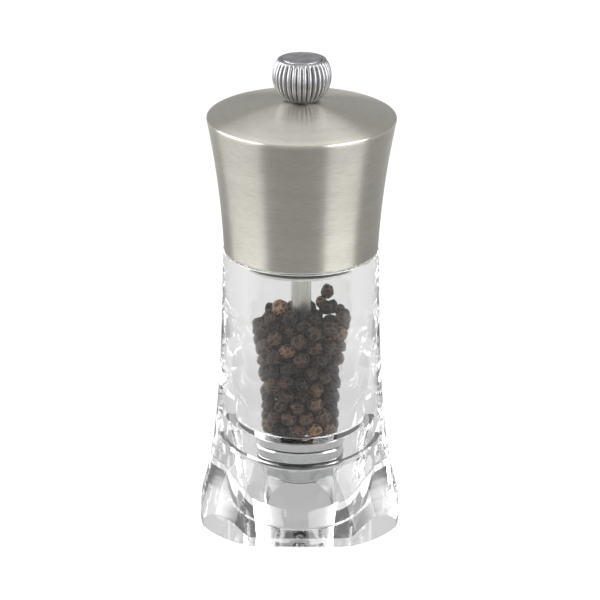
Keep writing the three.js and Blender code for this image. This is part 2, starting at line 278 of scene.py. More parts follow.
@dataclass(frozen=True)
class ClearAcrylic:
    """Clear acrylic with the faint waves of a moulded piece."""

    name: str = "clear_acrylic"
    ior: float = 1.49
    wave_scale: float = 70.0
    wave_height: float = 0.4 * MM

    def material(self) -> bpy.types.Material:
        """Builds the material.

        Returns:
            The material, with the slot's name.
        """
        graph = MaterialGraph(self.name)
        waves = graph.noise(graph.place(), self.wave_scale, 2.5)
        return graph.finish(
            Base_Color=(0.985, 0.99, 0.985),
            Roughness=0.0,
            IOR=self.ior,
            Transmission_Weight=1.0,
            Normal=graph.bump(waves, 0.2, self.wave_height),
        )


@dataclass(frozen=True)
class TurnedMetal:
    """Metal brushed, turned or polished round the Z axis, so that its marks are circles."""

    name: str
    dark: Triple
    light: Triple
    roughness: float
    anisotropy: float = 0.0
    marks: float = 0.5
    pitch: float = 0.35 * MM

    def material(self) -> bpy.types.Material:
        """Builds the material.

        Returns:
            The material, with the slot's name.
        """
        graph = MaterialGraph(self.name)
        east, north, radius, height = graph.round_the_axis()
        across = (height - radius) * (1.0 / self.pitch)
        fine = graph.noise(graph.vector(east * 8.0, north * 8.0, across), 1.0, 3.0, 0.6)
        broad = graph.noise(graph.vector(east * 0.9, north * 0.9, across * 0.13), 1.0, 2.0)
        streaks = fine * 0.7 + broad * 0.3
        cloud = graph.noise(graph.place(), 60.0, 2.0)
        share = (streaks * 1.6 - 0.3 + (cloud - 0.5) * 0.3).clamped()
        return graph.finish(
            Base_Color=graph.blend(share, self.dark, self.light),
            Metallic=1.0,
            Roughness=(streaks * 0.12 * self.marks + self.roughness).clamped(),
            Anisotropic=self.anisotropy,
            Anisotropic_Rotation=0.25,
            Normal=graph.bump(streaks, 0.25 * self.marks, 0.02 * MM),
        )


@dataclass(frozen=True)
class DrawnMetal:
    """Metal drawn along the Z axis, with long upright marks."""

    name: str
    dark: Triple
    light: Triple
    roughness: float

    def material(self) -> bpy.types.Material:
        """Builds the material.

        Returns:
            The material, with the slot's name.
        """
        graph = MaterialGraph(self.name)
        x, y, z = graph.axes()
        lines = graph.noise(graph.vector(x * 3500.0, y * 3500.0, z * 25.0), 1.0, 3.0, 0.6)
        return graph.finish(
            Base_Color=graph.blend((lines * 1.8 - 0.4).clamped(), self.dark, self.light),
            Metallic=1.0,
            Roughness=lines * 0.16 + self.roughness,
            Normal=graph.bump(lines, 0.25, 0.02 * MM),
        )


@dataclass(frozen=True)
class CastMetal:
    """Satin cast metal with a fine grain, a dull film where it isn't rubbed and painted shade in its
    grooves.
    """

    name: str
    dull: Triple
    rubbed: Triple
    roughness: float
    grain: float = 5200.0
    # The painted shade's colour at the bottom of a groove.
    groove_shade: Triple = (0.04, 0.04, 0.042)

    def material(self) -> bpy.types.Material:
        """Builds the material.

        Returns:
            The material, with the slot's name.
        """
        graph = MaterialGraph(self.name)
        place = graph.place()
        grain = graph.noise(place, self.grain, 2.0)
        film = graph.noise(place, 380.0, 3.0)
        share = (film * 1.5 - 0.3 + (grain - 0.5) * 0.7).clamped()
        # Painted shade: the knob's grooves are darkened towards a near-black as they deepen.
        groove = graph.wire(graph.add("ShaderNodeAttribute", {"attribute_name": "groove"}), "Fac")
        return graph.finish(
            Base_Color=graph.blend(groove, graph.blend(share, self.dull, self.rubbed), self.groove_shade),
            Metallic=1.0,
            Roughness=(grain * 0.15 + film * 0.1 + self.roughness).clamped(),
            Normal=graph.bump(grain, 0.35, 0.03 * MM),
        )


@dataclass(frozen=True)
class Plastic:
    """Moulded plastic or rubber with a fine even grain."""

    name: str
    colour: Triple
    shade: Triple
    roughness: float

    def material(self) -> bpy.types.Material:
        """Builds the material.

        Returns:
            The material, with the slot's name.
        """
        graph = MaterialGraph(self.name)
        place = graph.place()
        grain = graph.noise(place, 2600.0, 3.0)
        tone = graph.noise(place, 110.0, 2.0)
        return graph.finish(
            Base_Color=graph.blend(tone, self.shade, self.colour),
            Roughness=grain * 0.12 + self.roughness,
            Normal=graph.bump(grain, 0.15, 0.02 * MM),
        )


@dataclass(frozen=True)
class Peppercorn:
    """Dry black pepper, wrinkled and brown to black, with painted highlights on the wrinkles' ridges and
    painted shade in their hollows. The tone attribute picks each corn's colour.
    """

    name: str = "peppercorns"
    wrinkle_scale: float = 620.0

    def material(self) -> bpy.types.Material:
        """Builds the material.

        Returns:
            The material, with the slot's name.
        """
        graph = MaterialGraph(self.name)
        place = graph.place()
        tone = graph.wire(graph.add("ShaderNodeAttribute", {"attribute_name": "tone"}), "Fac")
        bent = graph.noise(place, 300.0, 2.0)
        x, y, z = graph.axes()
        twisted = graph.vector(x + bent * 0.0016, y - bent * 0.0014, z + bent * 0.001)
        cells = graph.add(
            "ShaderNodeTexVoronoi",
            {"feature": "DISTANCE_TO_EDGE"},
            {"Vector": twisted, "Scale": self.wrinkle_scale},
        )
        ridge = 1.0 - (graph.wire(cells, "Distance") * 4.0).clamped()
        speck = graph.noise(place, 2300.0, 3.0)
        skin = graph.add(
            "ShaderNodeValToRGB",
            {"stops": [
                (0.0, (0.006, 0.005, 0.0045)),
                (0.45, (0.030, 0.021, 0.016)),
                (0.80, (0.080, 0.053, 0.037)),
                (0.93, (0.16, 0.105, 0.066)),
                (1.0, (0.36, 0.26, 0.16)),
            ]},
            {0: tone},
        )
        # Painted light: the wrinkles' ridges are brightened up to about four times as painted highlight and
        # the hollows between them darkened as painted shade; the specks add random tone.
        lit = (ridge * 0.55 + speck * 0.5 - 0.15).clamped()
        colour = graph.add(
            "ShaderNodeMix", {"data_type": "RGBA", "blend_type": "MULTIPLY"},
            {0: 1.0, 6: graph.wire(skin), 7: graph.blend(lit, (0.20, 0.19, 0.19), (4.3, 3.95, 3.65))},
        )
        return graph.finish(
            Base_Color=graph.wire(colour, 2),
            Roughness=0.75 - ridge * 0.2,
            Specular_IOR_Level=0.3,
            Normal=graph.bump(ridge * 0.8 + speck * 0.35, 1.0, 0.4 * MM),
        )


class Finish(Protocol):
    """Anything that can build a material."""

    def material(self) -> bpy.types.Material:
        """Builds the material."""


def made(finish: Finish) -> Any:
    """A dataclass field that holds a finish's material."""
    return field(default_factory=finish.material)


@dataclass(frozen=True)
class Finishes:
    """Every material of the mill, made once."""

    acrylic: bpy.types.Material = made(ClearAcrylic())
    corn: bpy.types.Material = made(Peppercorn())
    brushed: bpy.types.Material = made(
        TurnedMetal("brushed_steel", (0.56, 0.543, 0.478), (0.78, 0.757, 0.68), 0.28, anisotropy=0.93)
    )
    polished: bpy.types.Material = made(
        TurnedMetal("polished_steel", (0.52, 0.52, 0.53), (0.66, 0.66, 0.67), 0.10, marks=0.4)
    )
    shaft: bpy.types.Material = made(
        DrawnMetal("shaft_steel", (0.42, 0.41, 0.38), (0.62, 0.61, 0.57), 0.16)
    )
    hardened: bpy.types.Material = made(
        CastMetal("hardened_steel", (0.10, 0.10, 0.105), (0.24, 0.24, 0.25), 0.3)
    )
    aluminium: bpy.types.Material = made(
        CastMetal("knob_aluminium", (0.31, 0.31, 0.32), (0.57, 0.57, 0.585), 0.26)
    )
    brass: bpy.types.Material = made(
        TurnedMetal("brass_insert", (0.50, 0.33, 0.13), (0.66, 0.46, 0.21), 0.25)
    )
    nylon: bpy.types.Material = made(
        Plastic("pale_nylon", (0.78, 0.78, 0.75), (0.68, 0.68, 0.65), 0.38)
    )
    rubber: bpy.types.Material = made(
        Plastic("dark_rubber", (0.016, 0.016, 0.016), (0.010, 0.010, 0.010), 0.55)
    )


# Modelling


def levels(node: str) -> Pair:
    """The heights of a CAD node's underside and top."""
    low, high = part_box(node)
    return float(low[2]), float(high[2])


def places_of(piece: bpy.types.Object) -> np.ndarray:
    """Where a piece's vertices are.

    Args:
        piece: the piece.

    Returns:
        Their places, one a row.
    """
    places = np.empty(3 * len(piece.data.vertices))
    piece.data.vertices.foreach_get("co", places)
    return places.reshape(-1, 3)


def start_clean() -> None:
    """Leaves edit mode and deselects everything."""
    if bpy.context.object and bpy.context.object.mode != "OBJECT":
        bpy.ops.object.mode_set(mode="OBJECT")
    bpy.ops.object.select_all(action="DESELECT")


def choose(piece: bpy.types.Object) -> None:
    """Makes one piece the only selected and active one.

    Args:
        piece: the piece.
    """
    start_clean()
    piece.select_set(True)
    bpy.context.view_layer.objects.active = piece


def settle(piece: bpy.types.Object, name: str, smooth_deg: float = 35.0) -> bpy.types.Object:
    """Names a piece, puts its place into its mesh, closes and smooths it.

    Args:
        piece: the object to settle.
        name: its name.
        smooth_deg: edges sharper than this stay sharp.

    Returns:
        The piece.
    """
    choose(piece)
    bpy.ops.object.transform_apply(location=True, rotation=True, scale=True)
    bpy.ops.object.mode_set(mode="EDIT")
    bpy.ops.mesh.select_all(action="SELECT")
    bpy.ops.mesh.remove_doubles(threshold=1e-6)
    bpy.ops.mesh.normals_make_consistent(inside=False)
    bpy.ops.object.mode_set(mode="OBJECT")
    bpy.ops.object.shade_smooth_by_angle(angle=math.radians(smooth_deg))
    piece.name = piece.data.name = name
    return piece


def select_ring(piece: bpy.types.Object, height: float, radius: float, reach: float = 1e-5) -> None:
    """In edit mode, selects only the vertices at one height and radius.

    Args:
        piece: the piece in edit mode.
        height: their height.
        radius: their distance from the Z axis.
        reach: how far off they may be.
    """
    mesh = bmesh.from_edit_mesh(piece.data)
    for vertex in mesh.verts:
        out = math.hypot(vertex.co.x, vertex.co.y)
        vertex.select_set(abs(vertex.co.z - height) < reach and abs(out - radius) < reach)
    mesh.select_flush_mode()
    mesh.select_flush(True)
    bmesh.update_edit_mesh(piece.data)


def grow_ring(radius: float, height: float, new_radius: float, new_height: float) -> None:
    """Extrudes the selected ring.

    Args:
        radius: the ring's radius.
        height: its height.
        new_radius: the radius to reach, 0 to close on the axis.
        new_height: the height to reach.
    """
    bpy.ops.mesh.extrude_region_move(TRANSFORM_OT_translate={"value": (0.0, 0.0, new_height - height)})
    scale = new_radius / radius
    if abs(scale - 1.0) > 1e-9:
        bpy.ops.transform.resize(value=(scale, scale, 1.0), center_override=(0.0, 0.0, 0.0))


def turned(name: str, outline: Outline, segments: int = 128, smooth_deg: float = 35.0) -> bpy.types.Object:
    """Grows a solid of revolution about the Z axis from a circle, ring by ring.

    Args:
        name: the piece's name.
        outline: (radius, height) in metres. Both ends are on the axis, or neither is and it closes.
        segments: vertices round the axis.
        smooth_deg: edges sharper than this stay sharp.

    Returns:
        The piece.
    """
    rings = [point for point in outline if point[0] > 0]
    start_clean()
    bpy.ops.mesh.primitive_circle_add(vertices=segments, radius=rings[0][0], location=(0.0, 0.0, 0.0))
    piece = bpy.context.object
    bpy.ops.object.mode_set(mode="EDIT")
    bpy.ops.transform.translate(value=(0.0, 0.0, rings[0][1]))
    on_axis = outline[0][0] == 0
    path = rings + ([] if on_axis else rings[:1])
    for (radius, height), (new_radius, new_height) in zip(path, path[1:]):
        grow_ring(radius, height, new_radius, new_height)
    if on_axis:
        grow_ring(*rings[-1], 0.0, outline[-1][1])
        select_ring(piece, rings[0][1], rings[0][0])
        grow_ring(*rings[0], 0.0, outline[0][1])
    return settle(piece, name, smooth_deg)


def arc(centre: Pair, radii: Pair, degrees: Pair, steps: int) -> Outline:
    """Points of an arc in the outline's plane.

    Args:
        centre: its centre's radius and height.
        radii: its size outwards and upwards.
        degrees: its first and last angle.
        steps: how many steps it takes.

    Returns:
        The points, both ends included.
    """
    angles = np.radians(np.linspace(degrees[0], degrees[1], steps + 1))
    return [(centre[0] + radii[0] * math.cos(a), centre[1] + radii[1] * math.sin(a)) for a in angles]


def reshaped(piece: bpy.types.Object, move: Callable[[np.ndarray], np.ndarray]) -> bpy.types.Object:
    """Moves a piece's vertices by a formula.

    Args:
        piece: the piece.
        move: takes the vertices' places, one a row, and returns the new ones.

    Returns:
        The piece.
    """
    piece.data.vertices.foreach_set("co", move(places_of(piece)).ravel())
    piece.data.update()
    return piece


def bevelled(piece: bpy.types.Object, width: float, segments: int = 2) -> bpy.types.Object:
    """Rounds a piece's sharp edges with an applied Bevel modifier.

    Args:
        piece: the piece.
        width: how wide the rounding is.
        segments: its steps.

    Returns:
        The piece.
    """
    choose(piece)
    bevel = piece.modifiers.new("edge", "BEVEL")
    bevel.width, bevel.segments, bevel.limit_method = width, segments, "ANGLE"
    bevel.angle_limit = math.radians(30.0)
    bpy.ops.object.modifier_apply(modifier=bevel.name)
    return piece


def joined(piece: bpy.types.Object, other: bpy.types.Object) -> bpy.types.Object:
    """Joins a piece with another, which is used up.

    Args:
        piece: the piece that stays.
        other: the one that is added to it.

    Returns:
        The piece.
    """
    choose(piece)
    boolean = piece.modifiers.new("join", "BOOLEAN")
    boolean.object, boolean.operation, boolean.solver = other, "UNION", "EXACT"
    bpy.ops.object.modifier_apply(modifier=boolean.name)
    bpy.data.objects.remove(other)
    return piece


def dress(piece: bpy.types.Object, material: bpy.types.Material, body: Body, *nodes: str) -> None:
    """Gives a new piece its material and body, and hides the CAD nodes that it stands for.

    Args:
        piece: the piece.
        material: its material, which holds the name of its slot.
        body: the body that it rides on.
        nodes: the CAD nodes that it replaces.
    """
    piece.data.materials.clear()
    piece.data.materials.append(material)
    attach(piece, body.value)
    if nodes:
        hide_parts(*nodes)
    log.info("%s: %d faces on %s", piece.name, len(piece.data.polygons), body.value)


def dress_nodes(material: bpy.types.Material, *names: str) -> None:
    """Gives CAD nodes that stay their material.

    Args:
        material: the material.
        names: the nodes' names.
    """
    for name in names:
        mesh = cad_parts[name].data
        mesh.materials.clear()
        mesh.materials.append(material)
        log.info("%s: CAD node dressed in %s", name, material.name)


# Sub-assemblies


@dataclass
class ClearBody:
    """The clear body: round at the neck, four gentle flats on its flared foot, a tapered chamber inside."""

    finishes: Finishes
    neck_radius: float = 22.3 * MM
    flare_width: float = 7.0 * MM
    flare_length: float = 26.0 * MM
    foot_band: float = 2.9 * MM
    corner_radius: float = 32.1 * MM
    squareness: float = 1.35
    square_height: float = 18.0 * MM
    bore_top: float = 15.6 * MM
    bore_floor: float = 12.4 * MM
    taper_top: float = 68.0 * MM
    floor: float = 29.4 * MM
    throat: float = 11.8 * MM
    recess: float = 14.2 * MM
    shelf: float = 27.6 * MM
    lip: float = 0.8 * MM
    groove_depth: float = 0.8 * MM
    groove_room: float = 0.3 * MM
    edge: float = 0.4 * MM
    segments: int = 192
    height: float = field(default_factory=lambda: levels("acrylic_body")[1])

    def half_width(self, height: float) -> float:
        """How far the flats stand from the axis at a height."""
        above = max(0.0, height - self.foot_band)
        return self.neck_radius + self.flare_width * math.exp(-above / self.flare_length)

    def outer_radius(self, angle: float, height: float) -> float:
        """The outside's radius before the corners are turned.

        Args:
            angle: round the axis, in radians.
            height: above the foot.

        Returns:
            The radius.
        """
        power = 2.0 + self.squareness * math.exp(-((height / self.square_height) ** 2))
        total = abs(math.cos(angle)) ** power + abs(math.sin(angle)) ** power
        return self.half_width(height) / total ** (1.0 / power)

    def band_top(self, angle: float) -> float:
        """Where the upright band of the foot ends, found by halving.

        Args:
            angle: round the axis, in radians.

        Returns:
            The height.
        """
        low, high = self.foot_band, self.height / 2
        if self.outer_radius(angle, low) <= self.corner_radius:
            return low
        for _ in range(40):
            middle = (low + high) / 2
            if self.outer_radius(angle, middle) > self.corner_radius:
                low = middle
            else:
                high = middle
        return low

    def bore(self, height: float) -> float:
        """The chamber's radius at a height above its rounded floor."""
        share = min(1.0, max(0.0, (height - self.floor) / (self.taper_top - self.floor)))
        return self.bore_floor + (self.bore_top - self.bore_floor) * share * share * (3.0 - 2.0 * share)

    def outline(self) -> Outline:
        """The outline before the foot is squared.

        Returns:
            From the underside by the band, the flare and the rim down the chamber to the recess.
        """
        edge, top = self.edge, self.height
        band = [(self.half_width(0.0), edge), (self.half_width(0.0), self.foot_band)]
        flare = []
        for share in np.linspace(0.0, 1.0, 61)[1:]:
            height = self.foot_band + (top - edge - self.foot_band) * share
            flare.append((self.half_width(height), height))
        rounding = self.bore_floor - self.throat
        drop = self.floor - self.shelf - self.lip
        chamber = [(self.bore(z), z) for z in np.linspace(top - edge, self.floor, 30)[:-1]]
        low, high = levels("retaining_ring")
        below, above = low - self.groove_room, high + self.groove_room
        deep = self.recess + self.groove_depth
        return [
            (self.recess + edge, 0.0),
            (self.half_width(0.0) - edge, 0.0),
            *band,
            *flare,
            (self.half_width(top) - 0.3 * edge, top - 0.3 * edge),
            (self.half_width(top) - edge, top),
            (self.bore_top + edge, top),
            *chamber,
            *arc((self.throat, self.floor), (rounding, drop), (0.0, -90.0), 8),
            (self.throat, self.shelf),
            (self.recess, self.shelf),
            (self.recess, above),
            (deep, above),
            (deep, below),
            (self.recess, below),
            (self.recess, edge),
        ]

    def squared(self, places: np.ndarray) -> np.ndarray:
        """Squares the foot, turns its corners and lifts the band's top line to meet them.

        Args:
            places: the vertices' places.

        Returns:
            The new places.
        """
        top = self.height - self.edge
        inside = self.bore_top + 1.0 * MM
        for row in places:
            radius = math.hypot(row[0], row[1])
            if radius < inside:
                continue
            angle = math.atan2(row[1], row[0])
            height = row[2]
            line = self.band_top(angle)
            if self.foot_band - 1e-7 <= height < top:
                share = (height - self.foot_band) / (top - self.foot_band)
                height = line + (top - line) * share
            trim = self.half_width(row[2]) - radius
            new = min(self.outer_radius(angle, height), self.corner_radius) - trim
            row[:] = (math.cos(angle) * new, math.sin(angle) * new, height)
        return places

    def build(self) -> None:
        """Models the body and puts it in the CAD body's place."""
        body = turned("clear_body", self.outline(), self.segments, 20.0)
        reshaped(body, self.squared)
        choose(body)
        bpy.ops.object.shade_smooth_by_angle(angle=math.radians(9.0))
        dress(body, self.finishes.acrylic, Body.MILL, "acrylic_body")


@dataclass
class PepperHeap:
    """Peppercorns poured round the shaft, settled by pushing them down and apart."""

    finishes: Finishes
    chamber: ClearBody
    count: int = 238
    shaft_room: float = 3.6
    floor: float = 27.5
    smallest: float = 1.9
    largest: float = 2.6
    lean: float = 0.03
    poured: Pair = (7.0, 10.5)
    drop: float = 120.0
    rounds: int = 900
    fall: float = 0.16
    creep: float = 0.015
    seed: int = 11

    def wall(self, heights: np.ndarray) -> np.ndarray:
        """The chamber's radius in millimetres at heights in millimetres."""
        return np.array([self.chamber.bore(height * MM) / MM for height in heights])

    def settled(self) -> tuple[np.ndarray, np.ndarray]:
        """Where the corns come to rest, a little higher on one side.

        Returns:
            Their centres and radii in millimetres.
        """
        draw = np.random.default_rng(self.seed)
        radii = draw.uniform(self.smallest, self.largest, self.count)
        turn = draw.uniform(0.0, 2.0 * math.pi, self.count)
        out = draw.uniform(*self.poured, self.count)
        heights = np.linspace(self.floor + 3.0, self.floor + self.drop, self.count)
        centres = np.stack([out * np.cos(turn), out * np.sin(turn), heights], axis=1)
        last_fall, last_creep = 0.85 * self.rounds, 0.95 * self.rounds
        for step in range(self.rounds):
            fall = self.fall if step < last_fall else self.creep if step < last_creep else 0.0
            centres += (fall * self.lean, 0.0, -fall)
            for _ in range(3):
                apart = centres[:, None, :] - centres[None, :, :]
                distance = np.sqrt((apart * apart).sum(axis=2)) + np.eye(self.count)
                overlap = np.clip(radii[:, None] + radii[None, :] - distance, 0.0, None)
                np.fill_diagonal(overlap, 0.0)
                centres += 0.4 * (apart * (overlap / distance)[:, :, None]).sum(axis=1)
                self.keep_inside(centres, radii)
        return centres, radii

    def keep_inside(self, centres: np.ndarray, radii: np.ndarray) -> None:
        """Pushes corns off the floor, the wall and the shaft.

        Args:
            centres: their centres in millimetres, changed in place.
            radii: their radii.
        """
        centres[:, 2] = np.maximum(centres[:, 2], self.floor + radii)
        out = np.hypot(centres[:, 0], centres[:, 1]) + 1e-9
        limit = self.wall(centres[:, 2]) - radii - 0.05
        new = np.clip(out, self.shaft_room + radii, np.maximum(limit, self.shaft_room + radii))
        centres[:, :2] *= (new / out)[:, None]

    def corn_shapes(self) -> list[tuple[np.ndarray, np.ndarray]]:
        """Four corns of unit radius, each a dented ball.

        Returns:
            Vertices and triangles of each.
        """
        shapes = []
        for number in range(4):
            start_clean()
            bpy.ops.mesh.primitive_ico_sphere_add(subdivisions=2, radius=1.0)
            corn = bpy.context.object
            places = places_of(corn)
            draw = np.random.default_rng(self.seed + number)
            waves = draw.normal(0.0, 3.4, (9, 3))
            phases = draw.uniform(0.0, 2.0 * math.pi, 9)
            dents = np.abs(np.sin(places @ waves.T + phases)).mean(axis=1)
            places *= (1.0 - 0.14 * (dents.max() - dents) / (dents.max() - dents.min()))[:, None]
            faces = np.array([list(face.vertices) for face in corn.data.polygons])
            shapes.append((places, faces))
            bpy.data.objects.remove(corn)
        return shapes

    def tones(self, draw: np.random.Generator) -> np.ndarray:
        """Picks each corn's tone: mostly dark, some brown, a few pale.

        Args:
            draw: the random generator.

        Returns:
            A number from 0 to 1 for each corn.
        """
        tone = np.clip(draw.normal(0.42, 0.2, self.count), 0.02, 0.8)
        pale = draw.random(self.count)
        tone[pale > 0.93] = draw.uniform(0.84, 0.93, int((pale > 0.93).sum()))
        tone[pale > 0.992] = 1.0
        return tone

    def build(self) -> None:
        """Models the heap as one piece of separate corns."""
        centres, radii = self.settled()
        draw = np.random.default_rng(self.seed)
        shapes, tones = self.corn_shapes(), self.tones(draw)
        vertices, faces, tone = [], [], []
        for index, (centre, radius) in enumerate(zip(centres, radii)):
            places, triangles = shapes[index % len(shapes)]
            turn, _ = np.linalg.qr(draw.normal(size=(3, 3)))
            turn *= np.sign(np.linalg.det(turn))
            stretch = draw.uniform(0.93, 1.03, 3)
            faces.append(triangles + len(vertices) * len(places))
            vertices.append(((places * stretch) @ turn.T * radius + centre) * MM)
            tone.append(np.full(len(places), tones[index]))
        mesh = bpy.data.meshes.new("peppercorns")
        mesh.from_pydata(np.concatenate(vertices).tolist(), [], np.concatenate(faces).tolist())
        mesh.attributes.new("tone", "FLOAT", "POINT").data.foreach_set("value", np.concatenate(tone))
        heap = bpy.data.objects.new("peppercorns", mesh)
        bpy.context.scene.collection.objects.link(heap)
        choose(heap)
        bpy.ops.object.shade_smooth()
        dress(heap, self.finishes.corn, Body.MILL, "peppercorn_fill")
        log.info("heap of %d corns up to %.1f mm", self.count, float((centres[:, 2] + radii).max()))


@dataclass
class Head:
    """The steel head with its nylon core, friction ring and driver plate."""

    finishes: Finishes
    foot_radius: float = 22.4 * MM
    rim_height: float = 121.9 * MM
    wall: float = 0.8 * MM
    dome_radius: float = 79.0 * MM
    dome_top: float = 127.5 * MM
    rim_round: float = 0.55 * MM
    hole: float = 3.0 * MM
    ring_depth: float = 0.72 * MM
    rim: float = field(default_factory=lambda: float(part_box("head_shell")[1][0]))

    def side(self, inset: float, steps: int) -> Outline:
        """The concave side from the foot up.

        Args:
            inset: how far in from the outside.
            steps: how many steps it takes.

        Returns:
            Its points.
        """
        bottom = levels("head_shell")[0]
        ends = (self.foot_radius - inset, self.foot_radius + 1.0 * MM - inset, self.rim - inset)
        heights = (bottom, (bottom + self.rim_height) / 2, self.rim_height)
        points = []
        for t in np.linspace(0.0, 1.0, steps + 1):
            weights = ((1 - t) ** 2, 2 * t * (1 - t), t**2)
            points.append(tuple(sum(w * v for w, v in zip(weights, values)) for values in (ends, heights)))
        return points

    def dome(self, inset: float, start: float, end: float, steps: int) -> Outline:
        """The domed top between two radii, lowered by inset."""
        radius, centre = self.dome_radius - inset, self.dome_top - self.dome_radius
        return [(r, centre + math.sqrt(radius**2 - r**2)) for r in np.linspace(start, end, steps + 1)]

    def build_shell(self) -> None:
        """Models the spun shell with its rounded rim."""
        rounding = (self.rim - self.rim_round, self.rim_height + 0.2 * MM)
        outline = [
            *self.side(0.0, 40),
            *arc(rounding, (self.rim_round, self.rim_round), (4.0, 72.0), 7),
            *self.dome(0.0, self.rim - 1.1 * MM, self.hole, 36),
            *self.dome(self.wall, self.hole, self.rim - 1.6 * MM, 12),
            *self.side(self.wall, 16)[::-1],
        ]
        shell = turned("steel_head", outline, 192, 40.0)
        dress(shell, self.finishes.brushed, Body.HEAD, "head_shell")

    def build_ring(self) -> None:
        """Models the round friction ring."""
        low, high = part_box("neck_ring")
        middle = float(low[2] + high[2]) / 2
        half, depth = float(high[2] - low[2]) / 2, self.ring_depth
        section = arc((float(high[0]) - depth, middle), (depth, half), (0.0, 345.0), 23)
        ring = turned("friction_ring", section, 128)
        dress(ring, self.finishes.rubber, Body.NECK, "neck_ring")

    def build(self) -> None:
        """Models the shell and the ring and dresses the rest."""
        self.build_shell()
        self.build_ring()
        dress_nodes(self.finishes.nylon, "head_core")
        dress_nodes(self.finishes.polished, "driver_plate")
        dress_nodes(self.finishes.hardened, "driver_plate_screw_1", "driver_plate_screw_2")


@dataclass
class Knob:
    """The fluted knob that sets the grind, with its brass insert and top disc."""

    finishes: Finishes
    radius: float = 8.5 * MM
    centre: float = 134.6 * MM
    seat: float = 127.8 * MM
    foot: float = 4.7 * MM
    shoulder: float = 6.95 * MM
    shoulder_round: float = 0.55 * MM
    disc: float = 5.8 * MM
    disc_rim: float = 0.42 * MM
    bore: float = 3.9 * MM
    bore_top: float = 137.4 * MM
    flutes: int = 32
    depth: float = 0.7 * MM

    def grooves(self, places: np.ndarray) -> np.ndarray:
        """How deep in a groove the ball's points are before they are pressed in.

        Args:
            places: the points, one a row.

        Returns:
            0 on a rib and off the flutes, 1 at the bottom of a groove.
        """
        radius = np.hypot(places[:, 0], places[:, 1])
        angle = np.arctan2(places[:, 1], places[:, 0])
        height = (places[:, 2] - self.centre) / self.radius
        fade = np.clip(np.minimum((0.80 + height) / 0.22, (0.555 - height) / 0.10), 0.0, 1.0) ** 0.5
        fade *= radius > 0.95 * np.sqrt(np.clip(1.0 - height**2, 0.0, 1.0)) * self.radius
        return fade * (1.0 - np.abs(np.sin(self.flutes * angle / 2)) ** 0.7)

    def pressed(self, places: np.ndarray) -> np.ndarray:
        """Presses narrow grooves between round ribs into the ball.

        Args:
            places: the vertices' places.

        Returns:
            The new places.
        """
        radius = np.maximum(np.hypot(places[:, 0], places[:, 1]), 1e-6)
        places[:, :2] *= (1.0 - self.grooves(places) * self.depth / radius)[:, None]
        return places

    def build(self) -> None:
        """Models the ball and the disc and dresses the insert."""
        top, rounding = levels("adjusting_knob")[1], self.shoulder_round
        low_angle = math.degrees(math.asin((self.seat + 0.2 * MM - self.centre) / self.radius))
        high_angle = math.degrees(math.acos(self.shoulder / self.radius))
        shoulder = (self.shoulder - rounding, top - 0.3 * MM - rounding)
        ball = arc((0.0, self.centre), (self.radius, self.radius), (low_angle, high_angle), 34)
        outline = [
            (0.0, self.bore_top),
            (self.bore, self.bore_top),
            (self.bore, self.seat),
            (self.foot, self.seat),
            *ball,
            *arc(shoulder, (rounding, rounding), (35.0, 90.0), 5),
            (self.disc + 0.1 * MM, top - 0.32 * MM),
            (self.disc, top - 0.42 * MM),
            (self.disc, top - 0.8 * MM),
            (0.0, top - 0.8 * MM),
        ]
        knob = turned("fluted_knob", outline, self.flutes * 8, 50.0)
        deep = self.grooves(places_of(knob))
        reshaped(knob, self.pressed)
        # The groove depth is kept as an attribute, by which the aluminium paints shade into the grooves.
        knob.data.attributes.new("groove", "FLOAT", "POINT").data.foreach_set("value", deep)
        dress(knob, self.finishes.aluminium, Body.KNOB, "adjusting_knob")
        self.build_disc(top)
        dress_nodes(self.finishes.brass, "knob_insert")

    def build_disc(self, top: float) -> None:
        """Models the disc, which stands a little proud and has a round rim.

        Args:
            top: the height of the rim's crest.
        """
        low = levels("knob_cap")[0]
        edge, rim = self.disc - 0.12 * MM, self.disc_rim
        outline = [
            (0.0, low),
            (edge, low),
            *arc((edge - rim, top - rim), (rim, rim), (0.0, 125.0), 9),
            (edge - 1.3 * MM, top - 0.2 * MM),
            (0.0, top - 0.1 * MM),
        ]
        disc = turned("knob_disc", outline, 128, 50.0)
        dress(disc, self.finishes.aluminium, Body.KNOB, "knob_cap")


